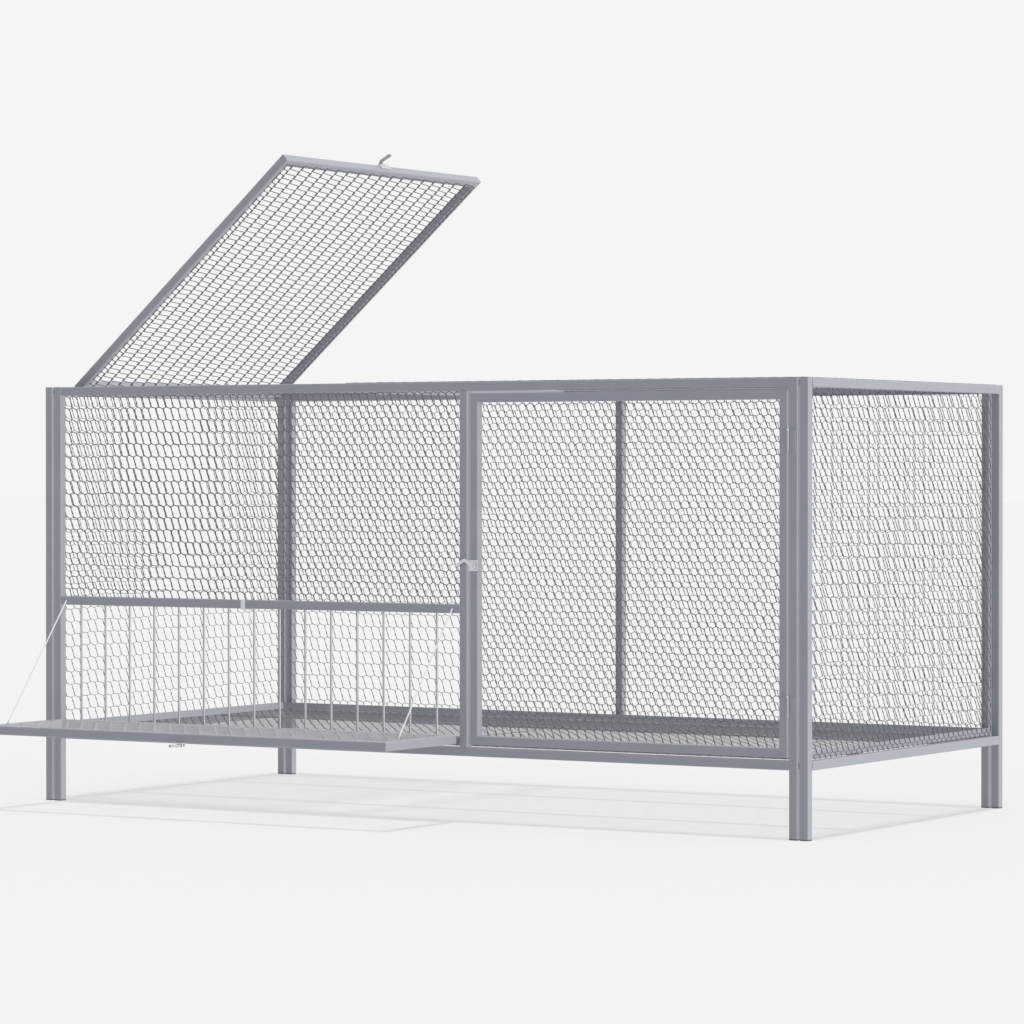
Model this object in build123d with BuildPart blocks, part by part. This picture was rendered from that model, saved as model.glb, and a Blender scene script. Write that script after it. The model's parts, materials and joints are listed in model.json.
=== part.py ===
"""Chicken cage of welded square tube and hexagonal wire netting.

Frame: origin on the ground at the middle of the four legs, +X along the length, -Y to the front, +Z up.
The door is modelled shut, the lid raised and the feeder flap let down on its stays. All lengths in mm.
"""

import os
from math import atan2, cos, degrees, floor, radians, sin, sqrt

from build123d import *

os.makedirs("parts", exist_ok=True)

# Overall frame
cage_length = 1500.0
cage_depth = 724.0
cage_height = 723.0
floor_clearance = 109.0
tube_size = 15.0
tube_wall = 1.2
tube_corner = 2.0
tube_cap = 1.2
front_post_x = 115.0
back_post_x = 0.0
feeder_rail_z = 350.5
bearer_spread = 150.0
bearer_width = 15.0
bearer_thickness = 3.0
seam_gap = 4.0
seam_pad = 8.0

# Gaps round the door, the flap and the lid
leaf_gap = 4.0
door_hinge_gap = 2.3
door_latch_gap = 5.5
flap_side_gap = 2.5
flap_proud = 0.5
lid_hinge_gap = 8.0
lid_length = 592.0
lid_width = 622.0
lid_opening = 41.1
flap_opening = 90.0

# Netting, drawn with large cells
net_thickness = 1.2
net_cell = 48.0
net_strand = 3.0
net_margin = 4.0
net_lap = 6.0
net_edge_clear = 0.5

# Feeder bars and floor
bar_diameter = 4.0
bar_count = 15
bar_left_gap = 32.0
bar_right_gap = 54.4
bar_lap = 8.0
strip_height = 12.0
strip_width = 5.0
notch_clear = 1.0
floor_net_edge = 342.0

# Butt hinges
hinge_height = 33.0
hinge_leaf_width = 13.0
hinge_leaf_thickness = 1.5
knuckle_radius = 2.75
knuckle_offset = 3.15
knuckle_gap = 0.3
pin_radius = 1.5
pin_clearance = 0.05
pin_head_radius = 2.2
pin_head_height = 1.0
door_hinge_inset = 63.0
lid_hinge_inset = 120.0
flap_hinge_inset = 110.0

# Turn latches
plate_width = 17.0
plate_height = 18.0
plate_thickness = 2.0
lid_plate_height = 30.0
lid_plate_flange = 9.0
stud_radius = 2.5
stud_head_radius = 3.5
stud_head_height = 1.4
lever_clear = 0.3
lever_thickness = 4.0
lever_hub_radius = 6.5
lever_arm_width = 5.0
lever_elbow = (14.5, -9.0)
lever_tip = (29.0, 0.0)
door_latch_z = 422.0

# Feeder hook and its clip
hook_x = -326.0
hook_rod_radius = 1.25
hook_length = 32.0
hook_tip_length = 7.0
hook_eye_radius = 4.0
hook_eye_thickness = 3.0
clip_width = 9.0
clip_thickness = 1.5
clip_rear_height = 7.5
hook_pin_radius = 1.5

# Lid rests, stays and feet
rest_reach = 8.0
rest_width = 25.0
rest_thickness = 2.0
rest_spread = 250.0
moving_clear = 0.3
stay_radius = 1.2
stay_inset = 13.0
stay_end_inset = 52.0
stay_clear = 0.2
foot_flange = 2.0
foot_shank = 14.0
foot_clear = 0.1

# Faces and centre lines worked out from the sizes above
half_tube = tube_size / 2
end_x = cage_length / 2 - half_tube
upright_x = end_x - tube_size - seam_gap
front_y = cage_depth / 2 - half_tube
inner_x = cage_length / 2 - tube_size
inner_y = cage_depth / 2 - tube_size
bay_x = upright_x - half_tube
top_z = cage_height - half_tube
bottom_z = floor_clearance + half_tube
rail_top = floor_clearance + tube_size
rail_under = cage_height - tube_size
face_y = -cage_depth / 2

door_left = front_post_x + half_tube + door_latch_gap
door_right = bay_x - door_hinge_gap
door_bottom = rail_top + leaf_gap
door_top = rail_under - leaf_gap
door_axis = (bay_x - door_hinge_gap / 2, face_y - knuckle_offset, 0.0)

flap_left = -bay_x + flap_side_gap
flap_right = front_post_x - half_tube - flap_side_gap
flap_bottom = rail_top + leaf_gap
flap_top = feeder_rail_z - half_tube - leaf_gap
flap_face = face_y - flap_proud
flap_axis = (0.0, face_y - knuckle_offset, rail_top + leaf_gap / 2)

lid_left = -inner_x + lid_hinge_gap
lid_right = lid_left + lid_length
lid_side = lid_width / 2
lid_axis = (-inner_x + lid_hinge_gap / 2, 0.0, cage_height + knuckle_offset)
hatch_rail_y = lid_side + leaf_gap + half_tube
cross_rail_x = lid_right + leaf_gap + half_tube
notch_size = (tube_size + 2 * notch_clear, 2 * (net_lap + notch_clear))


def swung(hinge_point, turn):
    """Frame of a leaf that has turned about its hinge, in which the shut leaf's coordinates still hold."""
    back = Location((-hinge_point[0], -hinge_point[1], -hinge_point[2]))
    return Plane(Location(hinge_point) * Location((0, 0, 0), turn) * back)


cage = Plane.XY
lid = swung(lid_axis, (0, -lid_opening, 0))
flap = swung(flap_axis, (flap_opening, 0, 0))


def direction(frame, vector):
    """Turn a direction given in a frame into one of the whole cage."""
    return frame.from_local_coords(Vector(vector)) - frame.origin


def spot(frame, origin, x_dir, normal):
    """Sketch plane at a point of a frame."""
    place = frame.from_local_coords(Vector(origin))
    return Plane(origin=place, x_dir=direction(frame, x_dir), z_dir=direction(frame, normal))


def save(builder, label):
    """Name a finished piece and write it."""
    builder.part.label = label
    export_step(builder.part, "parts/" + label + ".step")


def tube_runs(label, frame, runs, cap=0.0):
    """Square tubes, each from a start point to an end point, with the far end closed by a cap if asked."""
    bore = tube_size - 2 * tube_wall
    with BuildPart() as tubes:
        for start, end in runs:
            along = (Vector(end) - Vector(start)).normalized()
            across = (0, 0, 1) if abs(along.Z) < 0.5 else (1, 0, 0)
            length = (Vector(end) - Vector(start)).length
            section = spot(frame, start, across, along)
            with BuildSketch(section):
                RectangleRounded(tube_size, tube_size, tube_corner)
            extrude(amount=length)
            with BuildSketch(section):
                RectangleRounded(bore, bore, tube_corner - tube_wall)
            extrude(amount=length - cap, mode=Mode.SUBTRACT)
    save(tubes, label)


def tube(label, frame, start, end, cap=0.0):
    """One square tube along the line between two points."""
    tube_runs(label, frame, [(start, end)], cap)


def mitred_tube(frame, start, end, inward):
    """Square tube along an outer edge of a leaf, cut at 45 degrees at both of its corners."""
    bore = tube_size - 2 * tube_wall
    inward = Vector(inward)
    along = (Vector(end) - Vector(start)).normalized()
    across = along.cross(inward)
    with BuildPart() as rail:
        with BuildSketch(spot(frame, Vector(start) + inward * half_tube, inward, along)):
            RectangleRounded(tube_size, tube_size, tube_corner)
            RectangleRounded(bore, bore, tube_corner - tube_wall, mode=Mode.SUBTRACT)
        extrude(amount=(Vector(end) - Vector(start)).length)
        split(bisect_by=spot(frame, start, across, along - inward), keep=Keep.TOP)
        split(bisect_by=spot(frame, end, across, -along - inward), keep=Keep.TOP)
    return rail.part


def leaf_tubes(label, frame, edges):
    """Mitred tubes of a leaf, one for each edge: its start, its end and the way into the leaf."""
    rails = [mitred_tube(frame, start, end, inward) for start, end, inward in edges]
    with BuildPart() as tubes:
        add(rails)
    save(tubes, label)


def upright(label, x, y, outward):
    """Corner upright of the front or back, with two welded pads that carry it on the post beside it."""
    height = cage_height - foot_flange
    bore = tube_size - 2 * tube_wall
    with BuildPart() as leg:
        with BuildSketch(Plane.XY.offset(foot_flange)):
            with Locations((x, y)):
                RectangleRounded(tube_size, tube_size, tube_corner)
        extrude(amount=height)
        with BuildSketch(Plane.XY.offset(foot_flange)):
            with Locations((x, y)):
                RectangleRounded(bore, bore, tube_corner - tube_wall)
        extrude(amount=height - tube_cap, mode=Mode.SUBTRACT)
        for z in (bottom_z, top_z):
            with BuildSketch(spot(cage, (x + outward * half_tube, y, z), (0, 1, 0), (outward, 0, 0))):
                Rectangle(seam_pad, seam_pad)
            extrude(amount=seam_gap)
    save(leg, label)


def clear_of(centre, notches):
    """Whether a gap of the netting keeps away from every notch in its edge."""
    reach = (net_cell + tube_size) / 2 + net_margin
    return all(max(abs(centre[0] - x), abs(centre[1] - y)) > reach for x, y in notches)


def net_gaps(width, height, notches):
    """Outlines of the hexagonal gaps of a net.

    They stand in rows that are offset by half a cell, stretched a little so that they fill the net.
    """
    row_step = net_cell * sqrt(3) / 2
    gap_radius = (net_cell - net_strand) / sqrt(3)
    room_x = width - 2 * net_margin
    room_y = height - 2 * net_margin
    columns = floor((room_x + net_strand) / net_cell - 0.5)
    rows = floor((room_y - 2 * gap_radius) / row_step) + 1
    stretch_x = room_x / ((columns + 0.5) * net_cell - net_strand)
    stretch_y = room_y / ((rows - 1) * row_step + 2 * gap_radius)
    outlines = []
    for row in range(rows):
        shift = net_cell / 4 if row % 2 else -net_cell / 4
        middle_y = (row - (rows - 1) / 2) * row_step * stretch_y
        for column in range(columns):
            middle_x = ((column - (columns - 1) / 2) * net_cell + shift) * stretch_x
            corners = []
            for corner in range(6):
                angle = radians(30 + 60 * corner)
                corner_x = middle_x + gap_radius * cos(angle) * stretch_x
                corners.append((corner_x, middle_y + gap_radius * sin(angle) * stretch_y))
            if clear_of((middle_x, middle_y), notches):
                outlines.append(Wire.make_polygon(corners))
    return outlines


def net(label, plane, width, height, notches=()):
    """Flat hexagonal netting, one holed face, centred on the plane and as thick as its wire.

    Notches are cut into the edge where a tube of the frame passes the net.
    """
    gaps = net_gaps(width, height, notches)
    outline = Wire.make_rect(width, height)
    with BuildPart() as sheet:
        with BuildSketch(plane):
            add(Face(outline, gaps))
            if notches:
                with Locations(*notches):
                    Rectangle(*notch_size, mode=Mode.SUBTRACT)
        extrude(amount=net_thickness)
    save(sheet, label)


# Corner uprights and posts: two tubes side by side at each corner, a seam apart, standing on plugs
for side, sign in (("left", -1), ("right", 1)):
    for end, y in (("front", -front_y), ("back", front_y)):
        upright(end + "_" + side + "_upright", sign * upright_x, y, sign)
        post_foot = (sign * end_x, y, foot_flange)
        tube(side + "_" + end + "_post", cage, post_foot, (sign * end_x, y, cage_height), tube_cap)

# Rails of the front and the back
for end, y in (("front", -front_y), ("back", front_y)):
    tube(end + "_top_rail", cage, (-bay_x, y, top_z), (bay_x, y, top_z))
    tube(end + "_bottom_rail", cage, (-bay_x, y, bottom_z), (bay_x, y, bottom_z))

# Middle posts between the rails, and the feeder rail between the left upright and the middle post
tube("front_middle_post", cage, (front_post_x, -front_y, rail_top), (front_post_x, -front_y, rail_under))
tube("back_middle_post", cage, (back_post_x, front_y, rail_top), (back_post_x, front_y, rail_under))
feeder_right = front_post_x - half_tube
tube("feeder_rail", cage, (-bay_x, -front_y, feeder_rail_z), (feeder_right, -front_y, feeder_rail_z))

# Rails of the two ends
for side, x in (("left", -end_x), ("right", end_x)):
    tube(side + "_top_rail", cage, (x, -inner_y, top_z), (x, inner_y, top_z))
    tube(side + "_bottom_rail", cage, (x, -inner_y, bottom_z), (x, inner_y, bottom_z))

# Rail across the roof, with two welded rests under the lid's free edge
with BuildPart() as cross_rail:
    with BuildSketch(spot(cage, (cross_rail_x, -inner_y, top_z), (1, 0, 0), (0, 1, 0))):
        RectangleRounded(tube_size, tube_size, tube_corner)
        bore_size = tube_size - 2 * tube_wall
        RectangleRounded(bore_size, bore_size, tube_corner - tube_wall, mode=Mode.SUBTRACT)
    extrude(amount=2 * inner_y)
    with BuildSketch(Plane.XY.offset(rail_under - rest_thickness)):
        with Locations((cross_rail_x, -rest_spread), (cross_rail_x, rest_spread)):
            Rectangle(tube_size, rest_width)
    extrude(amount=rest_thickness)
    rest_x = cross_rail_x - half_tube - (leaf_gap + rest_reach) / 2
    with BuildSketch(Plane.XY.offset(rail_under - rest_thickness)):
        with Locations((rest_x, -rest_spread), (rest_x, rest_spread)):
            Rectangle(leaf_gap + rest_reach, rest_width)
    extrude(amount=rest_thickness - moving_clear)
save(cross_rail, "roof_cross_rail")

# Rails along both sides of the hatch, between the left end and the cross rail
hatch_runs = []
for y in (-hatch_rail_y, hatch_rail_y):
    hatch_runs.append(((-inner_x, y, top_z), (cross_rail_x - half_tube, y, top_z)))
tube_runs("hatch_side_rails", cage, hatch_runs)

# Floor: two flat bearers between the end rails, netting on them, and edge strips that hold it down
with BuildPart() as bearers:
    with BuildSketch(Plane.XY.offset(rail_top - bearer_thickness)):
        with Locations((0, -bearer_spread), (0, bearer_spread)):
            Rectangle(2 * inner_x, bearer_width)
    extrude(amount=bearer_thickness)
save(bearers, "floor_bearers")

floor_reach = inner_x - net_thickness - net_edge_clear
floor_half = floor_reach - net_edge_clear
floor_centre = (floor_reach + net_edge_clear) / 2
for side, sign in (("left", -1), ("right", 1)):
    plane = spot(cage, (sign * floor_centre, 0, rail_top), (1, 0, 0), (0, 0, 1))
    net("floor_net_" + side, plane, floor_half, 2 * floor_net_edge)

strip_z = rail_top + net_thickness
strip_y = floor_net_edge - strip_width / 2
strip_x = floor_reach - strip_width / 2
with BuildPart() as strips:
    with BuildSketch(Plane.XY.offset(strip_z)):
        with Locations((0, -strip_y), (0, strip_y)):
            Rectangle(2 * floor_reach, strip_width)
    extrude(amount=strip_height)
    with BuildSketch(Plane.XY.offset(strip_z)):
        with Locations((-strip_x, 0), (strip_x, 0)):
            Rectangle(strip_width, 2 * (floor_net_edge - strip_width - net_edge_clear))
    extrude(amount=strip_height)
save(strips, "floor_edge_frame")

# Wall nets, on the inner faces of the tubes
wall_low = rail_top - net_lap
wall_high = rail_under + net_lap
wall_middle = (wall_low + wall_high) / 2
wall_height = wall_high - wall_low

front_net_left = -bay_x - net_lap
front_net_right = front_post_x - half_tube + net_lap
front_net_low = feeder_rail_z + half_tube - net_lap
front_net_centre = ((front_net_left + front_net_right) / 2, -inner_y, (front_net_low + wall_high) / 2)
front_net_plane = spot(cage, front_net_centre, (-1, 0, 0), (0, 1, 0))
front_net_height = wall_high - front_net_low
net("front_net", front_net_plane, front_net_right - front_net_left, front_net_height,
    notches=((front_net_centre[0] - cross_rail_x, front_net_height / 2),))

for side, sign in (("left", -1), ("right", 1)):
    near = back_post_x + sign * (half_tube - net_lap)
    far = sign * (bay_x + net_lap)
    middle = (near + far) / 2
    back_plane = spot(cage, (middle, inner_y, wall_middle), (1, 0, 0), (0, -1, 0))
    crossed = min(near, far) < cross_rail_x < max(near, far)
    back_notches = ((cross_rail_x - middle, wall_height / 2),) if crossed else ()
    net("back_net_" + side, back_plane, abs(far - near), wall_height, back_notches)

for side, sign in (("left", -1), ("right", 1)):
    end_plane = spot(cage, (sign * inner_x, 0, wall_middle), (0, -sign, 0), (-sign, 0, 0))
    end_notches = [(-bearer_spread, -wall_height / 2), (bearer_spread, -wall_height / 2)]
    if side == "left":
        end_notches += [(-hatch_rail_y, wall_height / 2), (hatch_rail_y, wall_height / 2)]
    net(side + "_net", end_plane, 2 * (inner_y - net_edge_clear), wall_height, end_notches)

# Roof net over the fixed half of the top
roof_left = cross_rail_x + half_tube - net_lap
roof_right = inner_x + net_lap
roof_plane = spot(cage, ((roof_left + roof_right) / 2, 0, cage_height), (1, 0, 0), (0, 0, 1))
net("roof_net", roof_plane, roof_right - roof_left, 2 * (inner_y + net_lap))

# Feeder bars, welded behind the feeder rail and the bottom rail
bar_first_x = -bay_x + bar_left_gap
bar_pitch = (feeder_right - bar_right_gap - bar_first_x) / (bar_count - 1)
bar_low = rail_top - bar_lap
bar_high = feeder_rail_z - half_tube + bar_lap
bar_y = -inner_y + bar_diameter / 2
with BuildPart() as bars:
    with BuildSketch(Plane.XY.offset(bar_low)):
        with Locations(*[(bar_first_x + bar_pitch * i, bar_y) for i in range(bar_count)]):
            Circle(bar_diameter / 2)
    extrude(amount=bar_high - bar_low)
save(bars, "feeder_bars")

# Plugs in the feet of the eight legs
leg_places = [(sx * x, sy * front_y) for sx in (-1, 1) for x in (upright_x, end_x) for sy in (-1, 1)]
shank_size = tube_size - 2 * tube_wall - 2 * foot_clear
with BuildPart() as plugs:
    with BuildSketch(Plane.XY):
        with Locations(*leg_places):
            RectangleRounded(tube_size - foot_clear, tube_size - foot_clear, tube_corner)
    extrude(amount=foot_flange)
    with BuildSketch(Plane.XY.offset(foot_flange)):
        with Locations(*leg_places):
            RectangleRounded(shank_size, shank_size, tube_corner - tube_wall)
    extrude(amount=foot_shank)
save(plugs, "foot_plugs")


def leaf_outward(axis):
    """Way that the face under a hinge looks: up for the lid's hinges and to the front for the others."""
    return (0, 0, 1) if abs(axis[1]) > 0.5 else (0, -1, 0)


def hinge_half(frame, centre, axis, leaf_side, levels, bore, seat):
    """Half of a butt hinge: a leaf on one side of the axis with knuckles at the given levels.

    The seat is how far the face that the leaf lies on is behind the axis.
    """
    third = hinge_height / 3
    base = Vector(centre) - Vector(axis) * (hinge_height / 2)
    leaf_reach = hinge_leaf_width - knuckle_radius - knuckle_gap
    leaf_place = (leaf_side * (knuckle_radius + knuckle_gap + leaf_reach / 2),
                  hinge_leaf_thickness / 2 - seat)
    web_reach = knuckle_radius + 2 * knuckle_gap
    across = Vector(leaf_outward(axis)).cross(Vector(axis))
    with BuildPart() as half:
        with BuildSketch(spot(frame, base, across, axis)):
            with Locations(leaf_place):
                Rectangle(leaf_reach, hinge_leaf_thickness)
        extrude(amount=hinge_height)
        for level in levels:
            low = base + Vector(axis) * (level * third + knuckle_gap / 2)
            with BuildSketch(spot(frame, low, across, axis)):
                Circle(knuckle_radius)
                with Locations((leaf_side * web_reach / 2, leaf_place[1])):
                    Rectangle(web_reach, hinge_leaf_thickness)
            extrude(amount=third - knuckle_gap)
        with BuildSketch(spot(frame, base, across, axis)):
            Circle(bore)
        extrude(amount=hinge_height, mode=Mode.SUBTRACT)
    return half.part


# Hinges: axis, centres on that axis and the frame of the leaf that swings
door_hinge_low = door_bottom + door_hinge_inset + hinge_height / 2
door_hinge_high = door_top - door_hinge_inset - hinge_height / 2
door_hinge_places = [(door_axis[0], door_axis[1], z) for z in (door_hinge_low, door_hinge_high)]
lid_hinge_y = lid_side - lid_hinge_inset
lid_hinge_places = [(lid_axis[0], y, lid_axis[2]) for y in (-lid_hinge_y, lid_hinge_y)]
flap_hinge_low = flap_left + flap_hinge_inset
flap_hinge_high = flap_right - flap_hinge_inset
flap_hinge_places = [(x, flap_axis[1], flap_axis[2]) for x in (flap_hinge_low, flap_hinge_high)]
door_turn = (0, 0, 1)
lid_turn = (0, -1, 0)
flap_turn = (1, 0, 0)
hinge_sets = ((door_turn, door_hinge_places), (lid_turn, lid_hinge_places), (flap_turn, flap_hinge_places))

fixed_leaves = []
for turn, places in hinge_sets:
    for place in places:
        fixed_leaves.append(hinge_half(cage, place, turn, -1, (0, 2), pin_radius, knuckle_offset))
with BuildPart() as fixed_halves:
    add(fixed_leaves)
save(fixed_halves, "hinge_fixed_leaves")

with BuildPart() as pins:
    for turn, places in hinge_sets:
        for place in places:
            low = Vector(place) - Vector(turn) * (hinge_height / 2)
            high = Vector(place) + Vector(turn) * (hinge_height / 2)
            side = Vector(leaf_outward(turn)).cross(Vector(turn))
            with BuildSketch(spot(cage, low, side, turn)):
                Circle(pin_radius)
            extrude(amount=hinge_height)
            with BuildSketch(spot(cage, high, side, turn)):
                Circle(pin_head_radius)
            extrude(amount=pin_head_height)
save(pins, "hinge_pins")

flap_seat = knuckle_offset - flap_proud
turning_bore = pin_radius + pin_clearance
leaf_sets = (("door_hinge_leaves", cage, door_turn, door_hinge_places, knuckle_offset),
             ("lid_hinge_leaves", lid, lid_turn, lid_hinge_places, knuckle_offset),
             ("flap_hinge_leaves", flap, flap_turn, flap_hinge_places, flap_seat))
for label, frame, turn, places, seat in leaf_sets:
    swinging_leaves = [hinge_half(frame, place, turn, 1, (1,), turning_bore, seat) for place in places]
    with BuildPart() as swinging_halves:
        add(swinging_leaves)
    save(swinging_halves, label)

# Door
for level, z, inward in (("bottom", door_bottom, 1), ("top", door_top, -1)):
    leaf_tubes("door_" + level + "_rail", cage,
               [((door_left, -front_y, z), (door_right, -front_y, z), (0, 0, inward))])
for side, x, inward in (("left", door_left, 1), ("right", door_right, -1)):
    leaf_tubes("door_" + side + "_stile", cage,
               [((x, -front_y, door_bottom), (x, -front_y, door_top), (inward, 0, 0))])
door_net_width = door_right - door_left - 2 * (tube_size - net_lap)
door_net_height = door_top - door_bottom - 2 * (tube_size - net_lap)
door_centre = ((door_left + door_right) / 2, -inner_y, (door_bottom + door_top) / 2)
net("door_net", spot(cage, door_centre, (-1, 0, 0), (0, 1, 0)), door_net_width, door_net_height)

# Lid, in the coordinates of the shut lid
for edge, x, inward in (("hinge", lid_left, 1), ("free", lid_right, -1)):
    leaf_tubes("lid_" + edge + "_rail", lid, [((x, -lid_side, top_z), (x, lid_side, top_z), (inward, 0, 0))])
lid_edges = []
for y, inward in ((-lid_side, 1), (lid_side, -1)):
    lid_edges.append(((lid_left, y, top_z), (lid_right, y, top_z), (0, inward, 0)))
leaf_tubes("lid_side_rails", lid, lid_edges)
lid_net_length = lid_length - 2 * (tube_size - net_lap)
lid_net_width = 2 * (lid_side - tube_size + net_lap)
lid_centre = ((lid_left + lid_right) / 2, 0, rail_under)
net("lid_net", spot(lid, lid_centre, (0, 1, 0), (0, 0, -1)), lid_net_width, lid_net_length)

# Flap, in the coordinates of the shut flap
flap_y = flap_face + half_tube
for edge, z, inward in (("hinge", flap_bottom, 1), ("outer", flap_top, -1)):
    leaf_tubes("flap_" + edge + "_rail", flap,
               [((flap_left, flap_y, z), (flap_right, flap_y, z), (0, 0, inward))])
flap_edges = []
for x, inward in ((flap_left, 1), (flap_right, -1)):
    flap_edges.append(((x, flap_y, flap_bottom), (x, flap_y, flap_top), (inward, 0, 0)))
leaf_tubes("flap_side_rails", flap, flap_edges)
flap_net_length = flap_right - flap_left - 2 * tube_size
flap_net_height = flap_top - flap_bottom - 2 * tube_size
flap_centre = ((flap_left + flap_right) / 2, flap_face + tube_size, (flap_bottom + flap_top) / 2)
net("flap_net", spot(flap, flap_centre, (1, 0, 0), (0, -1, 0)), flap_net_length, flap_net_height)


def latch(label, frame, pivot, reach, normal, height, flange):
    """Turn latch: a plate with a headed stud, and a cranked lever that turns on the stud."""
    plate_plane = spot(frame, pivot, reach, normal)
    lever_base = plate_thickness + lever_clear
    head_base = lever_base + lever_thickness + lever_clear
    with BuildPart() as plate:
        with BuildSketch(plate_plane):
            RectangleRounded(plate_width, height, tube_corner)
        extrude(amount=plate_thickness)
        if flange:
            with BuildSketch(plate_plane.offset(-flange)):
                with Locations((half_tube, 0)):
                    Rectangle(plate_thickness, height, align=(Align.MIN, Align.CENTER))
            extrude(amount=flange + plate_thickness)
        with BuildSketch(plate_plane.offset(plate_thickness)):
            Circle(stud_radius)
        extrude(amount=head_base - plate_thickness)
        with BuildSketch(plate_plane.offset(head_base)):
            Circle(stud_head_radius)
        extrude(amount=stud_head_height)
    save(plate, label + "_latch_plate")
    elbow = Vector(lever_elbow)
    tip = Vector(lever_tip)
    with BuildPart() as lever:
        with BuildSketch(plate_plane.offset(lever_base)):
            Circle(lever_hub_radius)
            for start, end in ((Vector(0, 0), elbow), (elbow, tip)):
                run = end - start
                slant = degrees(atan2(run.Y, run.X))
                with Locations((start + end) / 2):
                    SlotCenterToCenter(run.length, lever_arm_width, rotation=slant)
            Circle(stud_radius + pin_clearance, mode=Mode.SUBTRACT)
        extrude(amount=lever_thickness)
    save(lever, label + "_latch_lever")


# Latches of the door, the lid and the flap, each on the free rail of its leaf;
# the lid's plate is bent down over the free face of its rail
door_pivot = (door_left + half_tube, face_y, door_latch_z)
latch("door", cage, door_pivot, (-1, 0, 0), (0, -1, 0), plate_height, 0)
lid_pivot = (lid_right - half_tube, 0, cage_height)
latch("lid", lid, lid_pivot, (1, 0, 0), (0, 0, 1), lid_plate_height, lid_plate_flange)
flap_pivot = ((flap_left + flap_right) / 2, flap_face, flap_top - half_tube)
latch("flap", flap, flap_pivot, (0, 0, 1), (0, -1, 0), plate_height, 0)

# Clip round the feeder rail with a headed pin behind it, and the hook that hangs on the pin
clip_low = feeder_rail_z - half_tube - clip_thickness
hook_pin_z = clip_low + clip_rear_height - hook_pin_radius - clip_thickness / 2
clip_front_height = tube_size + clip_thickness
pin_base = -inner_y + clip_thickness
with BuildPart() as clip:
    with BuildSketch(spot(cage, (hook_x - clip_width / 2, 0, clip_low), (0, 1, 0), (1, 0, 0))):
        with Locations((face_y - clip_thickness, 0)):
            Rectangle(clip_thickness, clip_front_height, align=(Align.MIN, Align.MIN))
            Rectangle(tube_size + 2 * clip_thickness, clip_thickness, align=(Align.MIN, Align.MIN))
        with Locations((-inner_y, 0)):
            Rectangle(clip_thickness, clip_rear_height, align=(Align.MIN, Align.MIN))
    extrude(amount=clip_width)
    with BuildSketch(spot(cage, (hook_x, pin_base, hook_pin_z), (1, 0, 0), (0, 1, 0))):
        Circle(hook_pin_radius)
    extrude(amount=hook_eye_thickness + 2 * lever_clear)
    head_y = pin_base + hook_eye_thickness + 2 * lever_clear
    with BuildSketch(spot(cage, (hook_x, head_y, hook_pin_z), (1, 0, 0), (0, 1, 0))):
        Circle(pin_head_radius)
    extrude(amount=pin_head_height)
save(clip, "feeder_hook_clip")

hook_y = pin_base + lever_clear
rod_y = hook_y + hook_eye_thickness / 2
rod_low = hook_pin_z - hook_length
eye_plane = spot(cage, (hook_x, hook_y, hook_pin_z), (1, 0, 0), (0, 1, 0))
with BuildPart() as hook:
    with BuildSketch(eye_plane):
        Circle(hook_eye_radius)
    extrude(amount=hook_eye_thickness)
    with BuildSketch(spot(cage, (hook_x, rod_y, rod_low), (1, 0, 0), (0, 0, 1))):
        Circle(hook_rod_radius)
    extrude(amount=hook_length)
    with BuildSketch(spot(cage, (hook_x + hook_rod_radius, rod_y, rod_low), (0, 1, 0), (-1, 0, 0))):
        Circle(hook_rod_radius)
    extrude(amount=hook_tip_length)
    with BuildSketch(eye_plane):
        Circle(hook_pin_radius + pin_clearance)
    extrude(amount=hook_eye_thickness, mode=Mode.SUBTRACT)
save(hook, "feeder_hook")

# Stays from the feeder rail down to the side rails of the lowered flap
stay_end = flap.from_local_coords(Vector(0, flap_face + tube_size, flap_top - stay_end_inset))
stay_rise = feeder_rail_z - stay_end.Z
stay_run = face_y - stay_end.Y
stay_slant = Vector(0, -stay_run, -stay_rise).normalized()
stay_top_clear = stay_radius * abs(stay_slant.Z) + stay_clear
stay_low_clear = stay_radius * abs(stay_slant.Y) + stay_clear
with BuildPart() as stays:
    for x in (-bay_x + stay_inset, feeder_right - stay_inset):
        stay_top = Vector(x, face_y - stay_top_clear, feeder_rail_z)
        stay_foot = Vector(x, stay_end.Y, stay_end.Z + stay_low_clear)
        with BuildSketch(Plane(origin=stay_top, x_dir=(1, 0, 0), z_dir=stay_foot - stay_top)):
            Circle(stay_radius)
        extrude(amount=(stay_foot - stay_top).length)
save(stays, "flap_stays")
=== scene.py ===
"""Looks of a chicken cage of square tube and twisted wire netting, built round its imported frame.

Frame: metres, origin on the ground under the middle of the cage, +X along it, -Y to the front, +Z up.
"""

import json
import logging
import math
from dataclasses import dataclass, field, replace
from enum import Enum
from typing import Any

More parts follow.
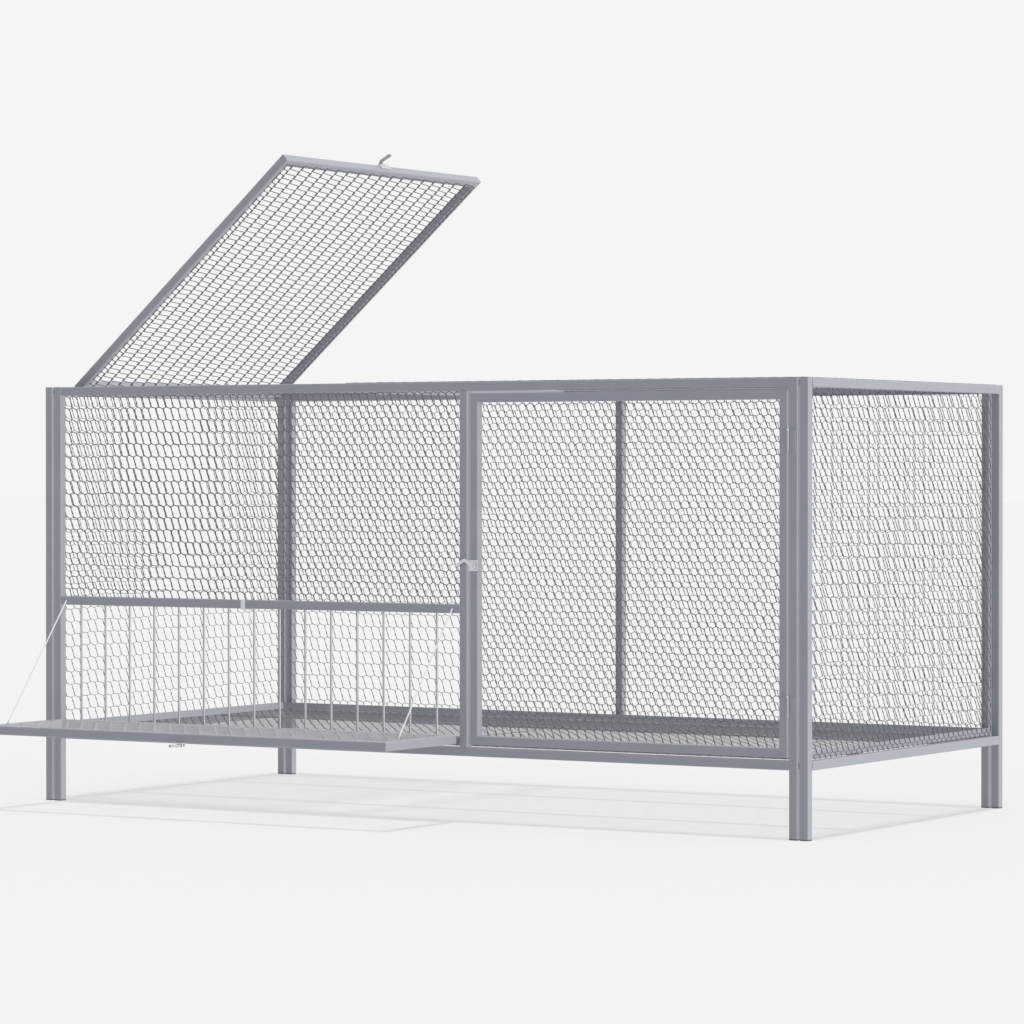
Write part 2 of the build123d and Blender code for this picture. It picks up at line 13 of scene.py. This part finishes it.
import bpy
import numpy as np
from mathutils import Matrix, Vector

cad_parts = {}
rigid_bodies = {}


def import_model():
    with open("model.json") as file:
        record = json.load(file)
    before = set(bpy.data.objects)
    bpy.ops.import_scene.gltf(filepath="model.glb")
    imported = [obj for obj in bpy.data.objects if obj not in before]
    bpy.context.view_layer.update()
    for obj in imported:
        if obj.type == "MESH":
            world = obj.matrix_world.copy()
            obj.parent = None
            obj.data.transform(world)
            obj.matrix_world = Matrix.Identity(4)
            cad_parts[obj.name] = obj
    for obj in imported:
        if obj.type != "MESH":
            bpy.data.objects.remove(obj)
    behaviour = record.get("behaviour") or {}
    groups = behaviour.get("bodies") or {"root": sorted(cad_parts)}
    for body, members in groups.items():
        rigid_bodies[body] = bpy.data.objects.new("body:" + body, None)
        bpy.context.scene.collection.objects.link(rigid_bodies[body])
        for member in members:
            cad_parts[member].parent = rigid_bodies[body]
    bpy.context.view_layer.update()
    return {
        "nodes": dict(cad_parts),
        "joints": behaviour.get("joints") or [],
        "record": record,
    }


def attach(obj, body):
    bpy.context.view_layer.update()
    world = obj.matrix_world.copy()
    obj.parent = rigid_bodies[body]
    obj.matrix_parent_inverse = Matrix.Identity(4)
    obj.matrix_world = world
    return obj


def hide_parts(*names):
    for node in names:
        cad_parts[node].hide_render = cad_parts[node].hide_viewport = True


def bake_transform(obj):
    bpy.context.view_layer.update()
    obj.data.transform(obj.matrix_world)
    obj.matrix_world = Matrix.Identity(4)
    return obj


LOG = logging.getLogger("chicken_cage")
MM = 0.001
# Least length that a direction is divided by to make it one unit long.
SHORTEST = 1e-9
# Where the photograph was taken from.
EYE = (3.624, -5.926, 0.580)


def linear(hex_colour: str) -> tuple[float, float, float, float]:
    """Turn an sRGB hex colour into linear RGBA, by the curve of the sRGB standard.

    Args:
        hex_colour: Six hex digits after a hash sign.

    Returns:
        The linear red, green and blue, with an alpha of one.
    """
    channels = []
    for start in (1, 3, 5):
        value = int(hex_colour[start:start + 2], 16) / 255
        channels.append(value / 12.92 if value <= 0.04045 else ((value + 0.055) / 1.055) ** 2.4)
    return channels[0], channels[1], channels[2], 1.0


def per_metre(size_mm: float) -> float:
    """Scale of a texture whose feature has this size in millimetres."""
    return 1 / (size_mm * MM)


def add_node(tree: bpy.types.NodeTree, kind: str, inputs: dict[str | int, Any] | None = None,
             **settings: Any) -> bpy.types.Node:
    """Add a node, set its properties and fill or link its inputs.

    Args:
        tree: The node tree that gets the node.
        kind: Blender's type name of the node.
        inputs: Values by input name or number; an output socket is linked.
        **settings: Properties of the node itself.

    Returns:
        The new node.
    """
    node = tree.nodes.new(kind)
    for key, value in settings.items():
        setattr(node, key, value)
    for key, value in (inputs or {}).items():
        if isinstance(value, bpy.types.NodeSocket):
            tree.links.new(value, node.inputs[key])
        else:
            node.inputs[key].default_value = value
    return node


class Slot(Enum):
    """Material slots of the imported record."""

    TUBE = "tube"
    NET_WIRE = "net_wire"
    BAR = "bar"
    FITTING = "fitting"
    STAY = "stay"
    PLUG = "plug"


@dataclass(frozen=True)
class Finish:
    """A surface with a mottled colour and a fine bump, both of a real size.

    Attributes:
        name: Common name of the real material and its surface.
        light: Lighter colour of the mottle.
        dark: Darker colour of the mottle.
        metallic: Share of bare metal.
        roughness: Micro-roughness of the surface.
        roughness_spread: How far the roughness strays on both sides.
        mottle_mm: Size of the mottle.
        grain_mm: Size of the fine bump.
        grain_height_mm: Height of the fine bump.
        mottle_detail: Octaves of the mottle.
        mottle_range: Values of the mottle between which the roughness changes.
        grain_detail: Octaves of the fine bump.
        grain_strength: Strength of the fine bump, from none at 0 to full at 1.
    """

    name: str
    light: str
    dark: str
    metallic: float
    roughness: float
    roughness_spread: float
    mottle_mm: float
    grain_mm: float
    grain_height_mm: float
    mottle_detail: float = 4.0
    mottle_range: tuple[float, float] = (0.3, 0.7)
    grain_detail: float = 2.0
    grain_strength: float = 0.3

    def material(self) -> bpy.types.Material:
        """Build the material of this finish.

        Returns:
            The material, which isn't on any piece yet.
        """
        made = bpy.data.materials.new(self.name)
        made.use_nodes = True
        tree = made.node_tree
        tree.nodes.clear()
        place = add_node(tree, "ShaderNodeTexCoord").outputs["Object"]
        mottle = add_node(tree, "ShaderNodeTexNoise",
                          {"Vector": place, "Scale": per_metre(self.mottle_mm), "Detail": self.mottle_detail})
        colour = add_node(tree, "ShaderNodeMix",
                          {"Factor": mottle.outputs["Fac"], "A": linear(self.dark), "B": linear(self.light)},
                          data_type="RGBA")
        gloss = add_node(tree, "ShaderNodeMapRange",
                         {"Value": mottle.outputs["Fac"],
                          "From Min": self.mottle_range[0], "From Max": self.mottle_range[1],
                          "To Min": self.roughness - self.roughness_spread,
                          "To Max": self.roughness + self.roughness_spread})
        grain = add_node(tree, "ShaderNodeTexNoise",
                         {"Vector": place, "Scale": per_metre(self.grain_mm), "Detail": self.grain_detail})
        bump = add_node(tree, "ShaderNodeBump",
                        {"Height": grain.outputs["Fac"], "Strength": self.grain_strength,
                         "Distance": self.grain_height_mm * MM})
        shader = add_node(tree, "ShaderNodeBsdfPrincipled",
                          {"Base Color": colour.outputs[2], "Metallic": self.metallic,
                           "Roughness": gloss.outputs["Result"], "Normal": bump.outputs["Normal"]})
        add_node(tree, "ShaderNodeOutputMaterial", {"Surface": shader.outputs["BSDF"]})
        return made


# Powder coat on rolled square tube: even and satin, with a faint orange peel.
POWDER_COAT = Finish(
    "powder_coated_steel_tube", light="#9da0a9", dark="#9598a1", metallic=0.0, roughness=0.42,
    roughness_spread=0.05, mottle_mm=55.0, grain_mm=2.2, grain_height_mm=0.05)
# Hot-dip zinc on drawn iron wire: dull grey, darker where it has weathered.
DIPPED_WIRE = Finish(
    "weathered_galvanised_wire", light="#70737a", dark="#595c61", metallic=0.55, roughness=0.45,
    roughness_spread=0.08, mottle_mm=9.0, grain_mm=1.0, grain_height_mm=0.03)
# A paler copy of the galvanised wire for the flap's netting, which lies flat under the lamps: painted light.
FLAP_WIRE_PAINTED_LIGHT = Finish(
    "galvanised_wire_painted_light", light="#b9bcbf", dark="#a2a5a9", metallic=0.30, roughness=0.36,
    roughness_spread=0.06, mottle_mm=9.0, grain_mm=1.0, grain_height_mm=0.03)
# Zinc on straightened round bar: paler than the netting, and slightly uneven.
DRAWN_BAR = Finish(
    "galvanised_drawn_bar", light="#b4b7bb", dark="#9da0a5", metallic=0.55, roughness=0.40,
    roughness_spread=0.06, mottle_mm=14.0, grain_mm=1.4, grain_height_mm=0.03)
# Bright zinc plate on pressed steel: pale and shiny, slightly cloudy.
BRIGHT_ZINC = Finish(
    "zinc_plated_pressed_steel", light="#dcdee0", dark="#c6c9cc", metallic=0.80, roughness=0.33,
    roughness_spread=0.07, mottle_mm=6.0, grain_mm=0.9, grain_height_mm=0.03)
# A darker copy of the zinc plate for the levers of the lid and the flap, with painted shade; the plates that
# they turn on keep the plain zinc.
SHADED_LEVER_ZINC = Finish(
    "zinc_plated_lever_painted_shade", light="#9ea1a5", dark="#888b8f", metallic=0.65, roughness=0.36,
    roughness_spread=0.06, mottle_mm=6.0, grain_mm=0.9, grain_height_mm=0.03)
# Spun polyester cord: pale and dull.
SPUN_CORD = Finish(
    "spun_polyester_cord", light="#dfe0e1", dark="#c9cbcd", metallic=0.0, roughness=0.80,
    roughness_spread=0.04, mottle_mm=3.0, grain_mm=0.7, grain_height_mm=0.15)
# Moulded polyethylene: dark grey and waxy.
MOULDED_PLUG = Finish(
    "moulded_polyethylene_plug", light="#5c5e63", dark="#505257", metallic=0.0, roughness=0.50,
    roughness_spread=0.04, mottle_mm=12.0, grain_mm=1.0, grain_height_mm=0.05)

SLOT_FINISHES = {Slot.TUBE: POWDER_COAT, Slot.NET_WIRE: DIPPED_WIRE, Slot.BAR: DRAWN_BAR,
                 Slot.FITTING: BRIGHT_ZINC, Slot.STAY: SPUN_CORD, Slot.PLUG: MOULDED_PLUG}
# The lid and flap levers take the copy of the zinc with painted shade.
SHADED_NODE_FINISHES = {"lid_latch_lever": SHADED_LEVER_ZINC, "flap_latch_lever": SHADED_LEVER_ZINC}


@dataclass
class Palette:
    """Materials of the cage, each built when it is first used.

    Attributes:
        materials: The materials built so far.
    """

    materials: dict[Finish, bpy.types.Material] = field(default_factory=dict)

    def dress(self, piece: bpy.types.Object, finish: Finish) -> None:
        """Give a piece the material of a finish.

        Args:
            piece: The object to dress.
            finish: The finish that it takes.
        """
        if finish not in self.materials:
            self.materials[finish] = finish.material()
        piece.data.materials.clear()
        piece.data.materials.append(self.materials[finish])


@dataclass
class TubeFrame:
    """The tubes, fittings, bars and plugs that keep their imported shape.

    Attributes:
        nodes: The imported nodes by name.
        slots: The material slot of each node.
    """

    nodes: dict[str, bpy.types.Object]
    slots: dict[str, str]

    def dress(self, palette: Palette) -> None:
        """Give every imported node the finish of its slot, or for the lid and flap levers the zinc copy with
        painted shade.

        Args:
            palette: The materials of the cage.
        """
        for name, node in self.nodes.items():
            palette.dress(node, SHADED_NODE_FINISHES.get(name, SLOT_FINISHES[Slot(self.slots[name])]))


@dataclass(frozen=True)
class Netting:
    """Sizes of hexagonal netting: wires that twist round their neighbours to the left and right in turn.

    Attributes:
        pitch: Width of a cell across the wires.
        row: Step from one row of twists to the next along the wires.
        wire_radius: Radius of one wire.
        twist_share: Share of a row that its twists take up.
        skew: Shift of the cells from one row to the next, in half cells.
        lean: How far a twist leans across, in cells.
        stray: Largest unevenness of a single twist.
        sway: Largest slow unevenness of the whole panel.
        sway_length: Shortest wave of the slow unevenness, across or along.
        sway_waves: Number of waves that make up the slow unevenness.
        origin: Point, across and along, that the cells are counted from; the panel's low corner if not given.
        finish: Surface of the wire.
        wrap: Distance of a wire from the middle of its twist, in wire radii.
        twist_points: Points along a twist, which makes one turn.
        sides: Sides of a wire; four, so that its ends are four-sided like its walls.
    """

    pitch: float
    row: float
    wire_radius: float = 0.5 * MM
    twist_share: float = 0.5
    skew: float = 0.0
    lean: float = -0.15
    stray: float = 0.5 * MM
    sway: float = 1.5 * MM
    sway_length: float = 170 * MM
    sway_waves: int = 3
    origin: tuple[float, float] | None = None
    finish: Finish = DIPPED_WIRE
    wrap: float = 1.0
    twist_points: int = 4
    sides: int = 4

    def swayed(self, points: np.ndarray, rng: np.random.Generator) -> np.ndarray:
        """Shift points by slow waves, as netting is when it is pulled on by hand.

        Args:
            points: Points with across and along as their first two values.
            rng: Source of the waves.

        Returns:
            The shifted points.
        """
        shift = np.zeros(points.shape[:-1] + (2,))
        for _ in range(self.sway_waves):
            wave = rng.uniform(-1, 1, 2) * 2 * math.pi / self.sway_length
            phase = rng.uniform(0, 2 * math.pi, 2)
            turn = points[..., 0] * wave[0] + points[..., 1] * wave[1]
            shift += self.sway / self.sway_waves * np.sin(turn[..., None] + phase)
        moved = points.copy()
        moved[..., :2] += shift
        return moved

    def strands(self, low: np.ndarray, high: np.ndarray, seed: int) -> list[np.ndarray]:
        """Centre lines of all the wires of a panel.

        Args:
            low: Least values of the panel across and along its wires.
            high: Greatest values of the panel across and along its wires.
            seed: Seed of the unevenness of the cells.

        Returns:
            A line for each wire, with points across, along and out of the panel.
        """
        rng = np.random.default_rng(seed)
        step = np.array([self.pitch, self.row])
        origin = low if self.origin is None else np.array(self.origin)
        middle_row = 2 * round(((low[1] + high[1]) / 2 - origin[1]) / self.row / 2)
        # Each row shifts by half a cell for a skew of one, with half of the rows on each side of the middle.
        skewed = abs(self.skew) * self.pitch / 4 * (high[1] - low[1]) / self.row
        slack = np.array([skewed + self.pitch, self.row])
        first = np.floor((low - slack - origin) / step).astype(int)
        columns, rows = np.ceil((high + slack - origin) / step).astype(int) - first
        stray = rng.uniform(-self.stray, self.stray, (rows, columns + 1, 2))
        offset = self.wrap * self.wire_radius
        wire = np.arange(2 * columns)
        pair, side = wire // 2, wire % 2
        lines = []
        for level in range(rows):
            # A wire twists round one neighbour in the even rows and round the other in the odd rows.
            even = (first[1] + level) % 2 == 0
            column = pair if even else pair + side
            shift = self.skew / 2 * (first[1] + level - middle_row)
            middle = first[0] + shift + (pair + 0.5 if even else pair + side)
            centre = origin[0] + middle * self.pitch + stray[level, column, 0]
            start = np.where((side == 0) if even else (side == 1), math.pi, 0.0)
            foot = first[1] + level + (1 - self.twist_share) / 2
            for share in np.linspace(0.0, 1.0, self.twist_points):
                angle = start + 2 * math.pi * share
                across = centre + offset * np.cos(angle) + self.lean * self.pitch * (share - 0.5)
                along = origin[1] + (foot + self.twist_share * share) * self.row + stray[level, column, 1]
                lines.append(np.stack([across, along, offset * np.sin(angle)], axis=-1))
        points = np.stack(lines, axis=1)
        return self.cut(self.swayed(points, rng), low, high)

    def cut(self, lines: np.ndarray, low: np.ndarray, high: np.ndarray) -> list[np.ndarray]:
        """Cut the wires to a panel, with the outermost ones run along its sides.

        Args:
            lines: Points of every wire, across, along and out of the panel.
            low: Least values of the panel across and along its wires.
            high: Greatest values of the panel across and along its wires.

        Returns:
            The pieces of wire that lie on the panel.
        """
        margin = np.array([self.wire_radius, 0.0])
        across, along = lines[..., 0], lines[..., 1]
        inside = (across > low[0] - self.pitch / 2) & (across < high[0] + self.pitch / 2)
        inside &= (along > low[1]) & (along < high[1])
        pieces = []
        for line, kept in zip(lines, inside):
            ends = np.flatnonzero(np.diff(np.concatenate([[0], kept.astype(int), [0]])))
            for begin, stop in zip(ends[::2], ends[1::2]):
                if stop - begin > self.twist_points:
                    piece = line[max(begin - 1, 0):stop + 1].copy()
                    piece[:, :2] = np.clip(piece[:, :2], low + margin, high - margin)
                    pieces.append(piece)
        return pieces

    def tubes(self, lines: list[np.ndarray]) -> tuple[np.ndarray, np.ndarray]:
        """Round every centre line into a closed tube.

        Args:
            lines: Points of each wire.

        Returns:
            The corners of all tubes and their four-sided faces.
        """
        corners, faces, used = [], [], 0
        angles = 2 * math.pi * np.arange(self.sides) / self.sides
        cosines, sines = np.cos(angles)[None, :, None], np.sin(angles)[None, :, None]
        for points in lines:
            run = np.gradient(points, axis=0)
            run /= np.maximum(np.linalg.norm(run, axis=1, keepdims=True), SHORTEST)
            aside = np.cross(run, (0.0, 0.0, 1.0))
            aside /= np.maximum(np.linalg.norm(aside, axis=1, keepdims=True), SHORTEST)
            out = np.cross(aside, run)
            ring = cosines * aside[:, None] + sines * out[:, None]
            corners.append((points[:, None] + self.wire_radius * ring).reshape(-1, 3))
            number = used + np.arange(len(points) * self.sides).reshape(len(points), self.sides)
            after = np.roll(number, -1, axis=1)
            walls = np.stack([number[:-1], after[:-1], after[1:], number[1:]], axis=-1).reshape(-1, 4)
            faces += [walls, number[:1, ::-1], number[-1:]]
            used += number.size
        return np.concatenate(corners), np.concatenate(faces)


# Netting of the upright walls, with its cells counted from the eye so that the panels keep step in the view.
WALL = Netting(15.6 * MM, 21.0 * MM, twist_share=0.9, skew=-1.0, lean=-0.42, stray=0.9 * MM,
               origin=(EYE[0], EYE[2]))


@dataclass
class NetPanel:
    """One panel of netting that stands for the flat net of the frame.

    Attributes:
        node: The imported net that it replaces.
        body: The body that it rides on.
        across: Direction across the wires.
        along: Direction along the wires.
        netting: Sizes of the netting.
        seed: Seed of its unevenness.
    """

    node: str
    body: str
    across: Vector
    along: Vector
    netting: Netting
    seed: int

    def build(self, nodes: dict[str, bpy.types.Object], palette: Palette) -> bpy.types.Object:
        """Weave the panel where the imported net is.

        Args:
            nodes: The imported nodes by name.
            palette: The materials of the cage.

        Returns:
            The netting, riding on its body.
        """
        corners = np.array([vertex.co for vertex in nodes[self.node].data.vertices])
        axes = np.array([self.across, self.along, self.across.cross(self.along)])
        places = corners @ axes.T
        low, high = places.min(axis=0), places.max(axis=0)
        verts, faces = self.netting.tubes(self.netting.strands(low[:2], high[:2], self.seed))
        verts = (verts + np.array([0.0, 0.0, (low[2] + high[2]) / 2])) @ axes
        mesh = bpy.data.meshes.new(self.node + "_wire")
        mesh.vertices.add(len(verts))
        mesh.vertices.foreach_set("co", verts.ravel())
        mesh.loops.add(faces.size)
        mesh.loops.foreach_set("vertex_index", faces.ravel())
        mesh.polygons.add(len(faces))
        mesh.polygons.foreach_set("loop_start", np.arange(0, faces.size, faces.shape[1]))
        mesh.update(calc_edges=True)
        mesh.shade_smooth()
        piece = bpy.data.objects.new(self.node + "_wire", mesh)
        bpy.context.scene.collection.objects.link(piece)
        palette.dress(piece, self.netting.finish)
        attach(piece, self.body)
        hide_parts(self.node)
        return piece


@dataclass
class NetWork:
    """All the netting of the cage.

    Attributes:
        lid_angle: How far the lid is raised, in radians.
        front: Netting above the feeder opening.
        door: Netting of the door.
        back: Netting of the back, half a cell and half a row off the front's in the photograph's view.
        left: Netting of the left end.
        right: Netting of the right end.
        roof: Netting of the fixed part of the roof.
        floor: Netting of the floor.
        flap: Netting of the flap.
        lid: Netting of the lid.
    """

    lid_angle: float
    front: Netting = replace(WALL, wire_radius=0.85 * MM)
    door: Netting = replace(WALL, wire_radius=0.70 * MM)
    back: Netting = replace(WALL, pitch=17.54 * MM, row=23.62 * MM, wire_radius=0.55 * MM,
                            origin=(EYE[0] + 8.8 * MM, EYE[2] + 11.8 * MM))
    left: Netting = replace(WALL, pitch=22.5 * MM, row=22.3 * MM, origin=(0.0, EYE[2]))
    right: Netting = replace(WALL, pitch=18.6 * MM, row=20.4 * MM, lean=-0.6, origin=(0.0, EYE[2]))
    roof: Netting = Netting(19.0 * MM, 12.3 * MM, wire_radius=0.4 * MM)
    floor: Netting = Netting(19.0 * MM, 12.3 * MM, wire_radius=0.30 * MM, lean=0.0)
    # The flap's netting takes the paler copy of the wire, with painted light.
    flap: Netting = Netting(31.2 * MM, 21.0 * MM, wire_radius=0.45 * MM, lean=0.0, finish=FLAP_WIRE_PAINTED_LIGHT)
    lid: Netting = Netting(34.5 * MM, 10.8 * MM, wire_radius=0.85 * MM, twist_share=0.6, wrap=1.3, skew=-1.0,
                           lean=0.0)

    def panels(self) -> list[NetPanel]:
        """List the panels with the run of their wires.

        Returns:
            One panel for each packed net.
        """
        length, depth, height = Vector((1, 0, 0)), Vector((0, 1, 0)), Vector((0, 0, 1))
        slope = Vector((math.cos(self.lid_angle), 0, math.sin(self.lid_angle)))
        runs = (("front_net", "cage", length, height, self.front),
                ("door_net", "door", length, height, self.door),
                ("back_net_left", "cage", length, height, self.back),
                ("back_net_right", "cage", length, height, self.back),
                ("left_net", "cage", depth, height, self.left),
                ("right_net", "cage", depth, height, self.right),
                ("roof_net", "cage", depth, length, self.roof),
                ("floor_net_left", "cage", length, depth, self.floor),
                ("floor_net_right", "cage", length, depth, self.floor),
                ("flap_net", "flap", length, depth, self.flap),
                ("lid_net", "lid", depth, slope, self.lid))
        return [NetPanel(*run, seed) for seed, run in enumerate(runs)]


@dataclass
class FlapStays:
    """Two thin cords that hold the let-down flap level.

    Attributes:
        sides: Place of the left and the right stay along the cage.
        top: Depth and height of a stay's end on the feeder rail.
        foot: Depth and height of a stay's end on the flap.
        stops: Places of the spline's points, as shares of the way from top to foot.
        order: Order of the spline.
        diameter: Thickness of a stay.
        ring: Sides of a stay.
    """

    sides: tuple[float, float] = (-0.7030, 0.0945)
    top: tuple[float, float] = (-0.36314, 0.3505)
    foot: tuple[float, float] = (-0.52615, 0.14460)
    stops: tuple[float, ...] = (0.0, 0.33, 0.67, 1.0)
    order: int = 3
    diameter: float = 2.4 * MM
    ring: int = 8

    def route(self, x: float) -> list[Vector]:
        """Points of a stay read from a smooth spline between its two ends.

        Args:
            x: Place of the stay along the cage.

        Returns:
            The points from the rail down to the flap.
        """
        top, foot = Vector((x, *self.top)), Vector((x, *self.foot))
        line = bpy.data.curves.new("stay_route", "CURVE")
        line.dimensions = "3D"
        spline = line.splines.new("NURBS")
        spline.points.add(len(self.stops) - 1)
        for point, stop in zip(spline.points, self.stops):
            point.co = (*top.lerp(foot, stop), 1.0)
        spline.order_u = self.order
        spline.use_endpoint_u = True
        holder = bpy.data.objects.new("stay_route", line)
        sampled = bpy.data.meshes.new_from_object(holder)
        points = [vertex.co.copy() for vertex in sampled.vertices]
        bpy.data.objects.remove(holder)
        bpy.data.meshes.remove(sampled)
        return points

    def cord_mesh(self, name: str, points: list[Vector]) -> bpy.types.Mesh:
        """Make the closed round mesh of a stay.

        Args:
            name: Name of the stay.
            points: Points from its top to its foot.

        Returns:
            The mesh, smooth along its length.
        """
        aside = Vector((1, 0, 0))
        out = aside.cross((points[-1] - points[0]).normalized())
        verts, faces = [], []
        for point in points:
            for corner in range(self.ring):
                angle = 2 * math.pi * corner / self.ring
                spoke = aside * math.cos(angle) + out * math.sin(angle)
                verts.append(point + spoke * self.diameter / 2)
        for level in range(len(points) - 1):
            near, far = level * self.ring, (level + 1) * self.ring
            for corner in range(self.ring):
                after = (corner + 1) % self.ring
                faces.append((near + corner, near + after, far + after, far + corner))
        faces.append(tuple(reversed(range(self.ring))))
        faces.append(tuple(range(len(verts) - self.ring, len(verts))))
        mesh = bpy.data.meshes.new(name)
        mesh.from_pydata(verts, [], faces)
        mesh.shade_smooth()
        return mesh

    def build(self, palette: Palette) -> list[bpy.types.Object]:
        """Hang both stays as cords from the feeder rail down to the let-down flap.

        Args:
            palette: The materials of the cage.

        Returns:
            The two cords.
        """
        made = []
        for name, x in zip(("left_flap_stay", "right_flap_stay"), self.sides):
            points = self.route(x)
            piece = bpy.data.objects.new(name, self.cord_mesh(name, points))
            bpy.context.scene.collection.objects.link(piece)
            palette.dress(piece, SPUN_CORD)
            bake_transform(piece)
            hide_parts("flap_stays")
            made.append(piece)
        return made


@dataclass(frozen=True)
class Lamp:
    """A far lamp of the studio.

    Attributes:
        name: What the lamp is.
        source: Direction that it shines from.
        strength: Its power over an area that faces it.
        spread_degrees: Its width as seen from the cage.
        shadows: Whether it throws shadows.
        tint: The colour of its light.
    """

    name: str
    source: tuple[float, float, float]
    strength: float
    spread_degrees: float
    shadows: bool
    tint: str = "#fffcf8"

    def build(self) -> bpy.types.Object:
        """Hang the lamp.

        Returns:
            The lamp, turned towards the cage.
        """
        sun = bpy.data.lights.new(self.name, "SUN")
        sun.energy = self.strength
        sun.color = linear(self.tint)[:3]
        sun.angle = math.radians(self.spread_degrees)
        sun.use_shadow = self.shadows
        lamp = bpy.data.objects.new(self.name, sun)
        lamp.rotation_mode = "QUATERNION"
        lamp.rotation_quaternion = Vector(self.source).to_track_quat("Z", "Y")
        bpy.context.scene.collection.objects.link(lamp)
        return lamp


@dataclass
class Studio:
    """Pale floor, soft light and the camera at the photograph's angle.

    Attributes:
        ground: Colour of the backdrop that the camera sees.
        floor_colour: Colour of the floor.
        floor_reach: Half the width of the floor.
        sky_colour: Colour of the even light from all round, cooler than the lamps.
        sky_strength: Strength of that light.
        lamps: The lamps, two straight above the cage and one off its right-hand end.
        eye: Place of the camera.
        heading: Turn of the camera to its left, from looking straight at the front, in radians.
        pitch: Tilt of the camera in radians, up if positive.
        lens: Focal length in millimetres.
        sensor: Width of the picture on the sensor in millimetres.
        view_depth: How far the camera sees.
    """

    ground: str = "#f5f5f5"
    floor_colour: str = "#ececec"
    floor_reach: float = 60.0
    sky_colour: str = "#f4f8ff"
    sky_strength: float = 0.427
    lamps: tuple[Lamp, ...] = (
        Lamp("overhead_lamp", (0.02, -0.02, 1.0), strength=0.665, spread_degrees=6.0, shadows=True),
        Lamp("overhead_fill", (0.0, 0.0, 1.0), strength=1.075, spread_degrees=8.0, shadows=False),
        Lamp("right_hand_fill", (1.0, 0.05, 0.2), strength=2.20, spread_degrees=20.0, shadows=False))
    eye: tuple[float, float, float] = EYE
    heading: float = math.radians(31.54)
    pitch: float = math.radians(-0.614)
    lens: float = 141.09
    sensor: float = 36.0
    view_depth: float = 200.0

    def floor(self) -> bpy.types.Object:
        """Lay the floor.

        Returns:
            A broad flat sheet under the cage that isn't part of it.
        """
        reach = self.floor_reach
        mesh = bpy.data.meshes.new("studio_floor")
        mesh.from_pydata([(-reach, -reach, 0), (reach, -reach, 0), (reach, reach, 0), (-reach, reach, 0)], [],
                         [(0, 1, 2, 3)])
        sheet = bpy.data.objects.new("studio_floor", mesh)
        bpy.context.scene.collection.objects.link(sheet)
        paper = bpy.data.materials.new("matt_paper_floor")
        paper.use_nodes = True
        shader = paper.node_tree.nodes["Principled BSDF"]
        shader.inputs["Base Color"].default_value = linear(self.floor_colour)
        shader.inputs["Roughness"].default_value = 1.0
        shader.inputs["Specular IOR Level"].default_value = 0.0
        mesh.materials.append(paper)
        return sheet

    def light(self) -> None:
        """Light the cage with the sky and the lamps, and show the plain backdrop wherever the sky is seen."""
        world = bpy.data.worlds.new("studio_sky")
        world.use_nodes = True
        tree = world.node_tree
        tree.nodes.clear()
        path = add_node(tree, "ShaderNodeLightPath").outputs
        seen = add_node(tree, "ShaderNodeMath", {0: path["Is Camera Ray"], 1: path["Is Glossy Ray"]},
                        operation="MAXIMUM")
        seen = add_node(tree, "ShaderNodeMath", {0: seen.outputs[0], 1: path["Is Transmission Ray"]},
                        operation="MAXIMUM")
        glow = add_node(tree, "ShaderNodeBackground",
                        {"Color": linear(self.sky_colour), "Strength": self.sky_strength})
        backdrop = add_node(tree, "ShaderNodeBackground", {"Color": linear(self.ground), "Strength": 1.0})
        mixed = add_node(tree, "ShaderNodeMixShader",
                         {0: seen.outputs[0], 1: glow.outputs[0], 2: backdrop.outputs[0]})
        add_node(tree, "ShaderNodeOutputWorld", {"Surface": mixed.outputs[0]})
        bpy.context.scene.world = world
        for lamp in self.lamps:
            lamp.build()

    def camera(self) -> None:
        """Set the camera where the photograph was taken from."""
        data = bpy.data.cameras.new("photograph_view")
        data.lens = self.lens
        data.sensor_width = self.sensor
        data.clip_end = self.view_depth
        view = bpy.data.objects.new("photograph_view", data)
        view.location = self.eye
        view.rotation_euler = (math.pi / 2 + self.pitch, 0.0, self.heading)
        bpy.context.scene.collection.objects.link(view)
        bpy.context.scene.camera = view

    def build(self) -> None:
        """Set up the floor, the light, the camera and the plain colour transform."""
        self.floor()
        self.light()
        self.camera()
        bpy.context.scene.view_settings.view_transform = "Standard"


def main() -> None:
    """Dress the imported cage, then set the studio round it."""
    logging.basicConfig(level=logging.INFO, format="%(name)s: %(message)s")
    for leftover in list(bpy.data.objects):
        bpy.data.objects.remove(leftover)
    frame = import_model()
    palette = Palette()
    slots = {part["node"]: part["material_slot"] for part in frame["record"]["subparts"]}
    TubeFrame(frame["nodes"], slots).dress(palette)
    LOG.info("dressed %d packed nodes", len(frame["nodes"]))
    lid = next(joint for joint in frame["joints"] if joint["name"] == "lid_swing")
    for panel in NetWork(lid_angle=math.radians(-lid["range_deg"][0])).panels():
        piece = panel.build(frame["nodes"], palette)
        LOG.info("wove %s with %d faces", piece.name, len(piece.data.polygons))
    for stay in FlapStays().build(palette):
        LOG.info("hung %s", stay.name)
    Studio().build()


if __name__ == "__main__":
    main()
